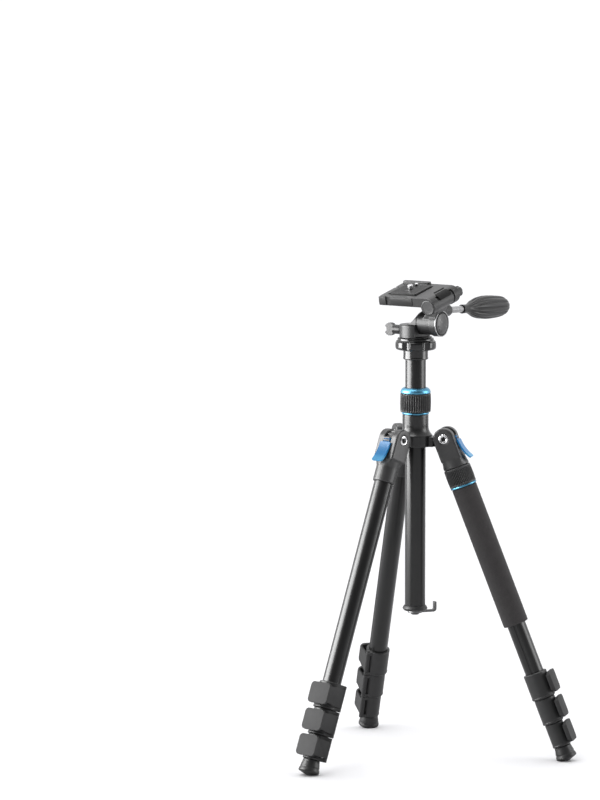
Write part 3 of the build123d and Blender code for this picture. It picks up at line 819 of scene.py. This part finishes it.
def ribbed_pad_mesh():
    """Rubber pad with straight ribs, open round the camera screw."""
    half, cells = PAD_HALF, 124
    low, high = RELEASE_TOP - 0.3, RELEASE_TOP + 0.35
    vertices, faces = [], []
    for i in range(cells + 1):
        for j in range(cells + 1):
            x, y = -half + 2 * half * i / cells, -half + 2 * half * j / cells
            rim = min(half - abs(x), half - abs(y)) / 0.5
            hole = (Vector((x, max(abs(y) - 4.0, 0.0))).length - 4.4) / 0.5
            amount = max(0.0, min(1.0, rim, hole))
            ridge = 0.55 + 0.45 * cos(2 * pi * x / PAD_PITCH)
            height = low + (high - low) * amount * ridge
            vertices.append((RELEASE_CENTRE[0] + x, RELEASE_CENTRE[1] + y, height))
    for i in range(cells):
        for j in range(cells):
            k = i * (cells + 1) + j
            faces.append((k, k + cells + 1, k + cells + 2, k + 1))
    return evaluated(mesh_of("pad", vertices, faces), ("SOLIDIFY", {"thickness": 0.2 * MM, "offset": -1}))


def pin_tip_mesh():
    """Domed metal tip of the plate's anti-twist pin."""
    profile = [(0, -1.0), (2.15, -1.0), (2.15, 0.6), (1.8, 1.1), (0.9, 1.35), (0, 1.4)]
    spot = (RELEASE_CENTRE[0], RELEASE_CENTRE[1] + 13.0, RELEASE_TOP + 1.7)
    return moved(lathe("tip", rounded(profile, 0.3, closed=False), 48), upon(spot, (0, 0, 1)))


def release_plate_mesh():
    """Camera plate, drawn in a little from its pocket."""
    mesh = eased("quick_release_plate", TILT, width=0.5)
    centre = Vector((*RELEASE_CENTRE, 0)) * MM
    shrink = Matrix.Diagonal((PLATE_SHARE, PLATE_SHARE, 1.0, 1.0))
    return moved(mesh, Matrix.Translation(centre) @ shrink @ Matrix.Translation(-centre))


restyle("pan_base", PAN, "head_casting", soft_cast, voxel=0.4)
restyle("pan_lock_knob", PAN, "clamp_plastic", soft_cast, voxel=0.3, look="panel_black")
restyle("tilt_housing", TILT, "head_casting", soft_cast, voxel=0.4)
put("scale_cap", cap_mesh(), TILT, "tilt_stage", "head_cap", ["tilt_scale_cap"], smooth_angle=60)
# painted highlight: bright ring for the light caught on the clamp's end edge
put("scale_cap_rim_highlight", cap_rim_highlight_mesh(), TILT, "tilt_stage", "rod_steel")
put("scale_cap_marks", cap_marks_mesh(), TILT, "tilt_stage", "cast_black")
restyle("handle_rod", TILT, "rod_steel", eased, width=0.3)
put(
    "handle_grip_fluted", grip_mesh(), TILT, "pan_handle", "handle_rubber", ["handle_grip"],
    smooth_angle=60,
)
restyle("platform", TILT, "platform_plastic", soft_cast, voxel=0.4)
put("ear_disc", ear_disc_mesh(), TILT, "side_stage", "head_cap")
put(
    "front_block", on_front(slab("block", *FRONT_BLOCK, corner=1.6, roll=0.5)),
    TILT, "side_stage", "platform_plastic", look="clamp_plastic",
)
put(
    "front_panel", on_front(slab("panel", *FRONT_PANEL, corner=1.2, roll=0.3)),
    TILT, "side_stage", "platform_plastic", look="panel_black",
)
# painted shade: dark sheets on the shell stand for the shade in its slot and window
dome_slot_shade = dome_shade_patch("slot", (-6, 15), (98, 109), lift=0.65)
dome_window_shade = dome_shade_patch("window", (-13, 12), (28, 80), lift=0.1)
put("dome_slot_shade", dome_slot_shade, TILT, "side_stage", "plate_plastic", look="painted_recess_shade")
put("dome_window_shade", dome_window_shade, TILT, "side_stage", "plate_plastic", look="painted_recess_shade")
restyle("side_lock_knob", TILT, "clamp_plastic", soft_cast, voxel=0.3)
put("release_plate", release_plate_mesh(), TILT, "release_plate", "plate_plastic", ["quick_release_plate"])
put("release_pin_tip", pin_tip_mesh(), TILT, "release_plate", "screw_steel")
put("release_plate_pad", ribbed_pad_mesh(), TILT, "release_plate", "plate_plastic", smooth_angle=60)
restyle("camera_screw", TILT, "screw_steel", eased, width=0.3)
restyle("quick_release_lever", TILT, "platform_plastic", eased, width=0.6)


# ------------------------------------------------------------------ floor, light, camera
FLOOR_HALF = 60.0                     # metres, wide enough to reach the horizon


def floor():
    """Pale studio floor."""
    corners = [(x * FLOOR_HALF, y * FLOOR_HALF, 0) for x, y in ((-1, -1), (1, -1), (1, 1), (-1, 1))]
    mesh = bpy.data.meshes.new("studio_floor")
    mesh.from_pydata(corners, [], [(0, 1, 2, 3)])
    surface = Surface("studio_floor", 0.9, specular=0.0)
    surface.colour(surface.mix(surface.noise(0.004, 3), grey(0.93), grey(0.95)))
    mesh.materials.append(surface.material)
    piece = bpy.data.objects.new("studio_floor", mesh)
    bpy.context.scene.collection.objects.link(piece)


CAMERA_AZIMUTH = radians(12.1)        # round from -Y towards +X
CAMERA_RANGE = 5.85                   # metres from the column, level
CAMERA_HEIGHT = 1.115                 # metres
AIM_LEFT = 0.1347                     # the aim passes this far to the left of the column
AIM_HEIGHT = 0.4183
LENS = 227.4                          # millimetres, as is the sensor's width
SENSOR = 36.0
BACKDROP = (1.42, 0.20)               # strength of the world, away from the camera and behind it


def across(left, towards, height):
    """Point in metres from the column's foot: to the camera's left, towards it, and up."""
    a = CAMERA_AZIMUTH
    return Vector((-left * cos(a) + towards * sin(a), -left * sin(a) - towards * cos(a), height))


def camera():
    """Long lens that looks slightly down on the tripod."""
    data = bpy.data.cameras.new("camera")
    data.lens = LENS
    data.sensor_width = SENSOR
    data.clip_start, data.clip_end = 0.1, 200.0
    made = bpy.data.objects.new("camera", data)
    made.location = across(0, CAMERA_RANGE, CAMERA_HEIGHT)
    aim = across(AIM_LEFT, 0, AIM_HEIGHT) - made.location
    made.rotation_euler = aim.to_track_quat("-Z", "Y").to_euler()
    bpy.context.scene.collection.objects.link(made)
    bpy.context.scene.camera = made


def panel(name, where, aim, width, height, radiance, glossy_only=False):
    """Rectangular soft light, hidden from the camera."""
    data = bpy.data.lights.new(name, "AREA")
    data.shape = "RECTANGLE"
    data.size, data.size_y = width, height
    data.energy = radiance * width * height * pi
    made = bpy.data.objects.new(name, data)
    made.location = where
    made.rotation_euler = (aim - where).to_track_quat("-Z", "Y").to_euler()
    made.visible_camera = False
    made.visible_diffuse = not glossy_only
    bpy.context.scene.collection.objects.link(made)


def studio():
    """Soft lights at the sides and above, in a room that is bright behind the tripod."""
    middle = Vector((0, 0, 0.3))
    panel("left_strip", across(1.9, 0.30, 0.55), middle, 1.9, 1.9, 22.0, glossy_only=True)
    panel("right_strip", across(-1.9, 0.1, 0.55), middle, 1.0, 1.7, 6.5, glossy_only=True)
    panel("overhead", across(0.2, -0.2, 2.2), middle, 1.6, 1.2, 8.0, glossy_only=True)
    panel("key", across(0.9, 1.2, 2.6), middle, 1.4, 1.4, 2.4)
    world = bpy.data.worlds.new("studio")
    world.use_nodes = True
    tree = world.node_tree
    direction = tree.nodes.new("ShaderNodeTexCoord").outputs["Generated"]
    facing = tree.nodes.new("ShaderNodeVectorMath")
    facing.operation = "DOT_PRODUCT"
    tree.links.new(direction, facing.inputs[0])
    facing.inputs[1].default_value = across(0, 1, 0)
    dim = tree.nodes.new("ShaderNodeMapRange")
    dim.interpolation_type = "SMOOTHSTEP"
    for key, number in zip(("From Min", "From Max", "To Min", "To Max"), (0.0, 0.85, *BACKDROP)):
        dim.inputs[key].default_value = number
    tree.links.new(facing.outputs["Value"], dim.inputs["Value"])
    tree.links.new(dim.outputs["Result"], tree.nodes["Background"].inputs["Strength"])
    tree.nodes["Background"].inputs["Color"].default_value = grey(1.0)
    bpy.context.scene.world = world
    bpy.context.scene.view_settings.view_transform = "Standard"


floor()
camera()
studio()
